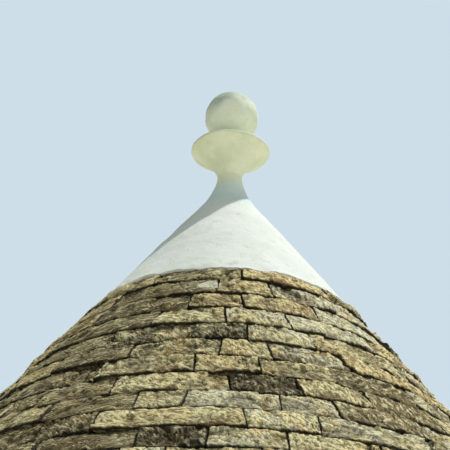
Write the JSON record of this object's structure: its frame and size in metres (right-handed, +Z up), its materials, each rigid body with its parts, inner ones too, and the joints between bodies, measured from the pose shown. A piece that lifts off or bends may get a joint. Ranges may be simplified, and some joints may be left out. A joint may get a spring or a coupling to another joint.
{
  "type": "trullo conical roof with pinnacle",
  "caption": "Conical dry-stone roof in stepped slab courses over a hollow corbelled vault, with a plastered tip and a turned stone pinnacle of neck, dish and ball.",
  "frame": {"origin": "on the roof's axis, at the bearing plane where the roof stands on its round wall", "axes": "+Z up the roof's axis to the pinnacle; -Y is the side seen in the picture"},
  "size_m": [4.3397, 4.3398, 3.3193],
  "materials": {
    "roof_stone": "rough weathered limestone with lichen and dark dry joints",
    "vault_stone": "split limestone, dry laid, soot free",
    "rubble": "small packed limestone rubble",
    "lime_plaster": "matt limewashed plaster with faint trowel marks",
    "pinnacle_stone": "smooth turned limestone under old limewash, with lichen on top"
  },
  "bodies": {
    "root": {"eaves_course": "roof_stone", "slab_course_01": "roof_stone", "slab_course_02": "roof_stone", "slab_course_03": "roof_stone", "slab_course_04": "roof_stone", "slab_course_05": "roof_stone", "slab_course_06": "roof_stone", "slab_course_07": "roof_stone", "slab_course_08": "roof_stone", "slab_course_09": "roof_stone", "slab_course_10": "roof_stone", "slab_course_11": "roof_stone", "slab_course_12": "roof_stone", "slab_course_13": "roof_stone", "slab_course_14": "roof_stone", "slab_course_15": "roof_stone", "slab_course_16": "roof_stone", "slab_course_17": "roof_stone", "slab_course_18": "roof_stone", "slab_course_19": "roof_stone", "slab_course_20": "roof_stone", "slab_course_21": "roof_stone", "corbel_ring_01": "vault_stone", "corbel_ring_02": "vault_stone", "corbel_ring_03": "vault_stone", "corbel_ring_04": "vault_stone", "corbel_ring_05": "vault_stone", "corbel_ring_06": "vault_stone", "corbel_ring_07": "vault_stone", "corbel_ring_08": "vault_stone", "corbel_ring_09": "vault_stone", "corbel_ring_10": "vault_stone", "corbel_ring_11": "vault_stone", "closing_slab": "vault_stone", "rubble_fill": "rubble", "cap_core": "rubble", "plaster_cap": "lime_plaster", "pinnacle_neck": "lime_plaster", "pinnacle_dish": "pinnacle_stone", "pinnacle_ball": "pinnacle_stone"}
  },
  "joints": []
}
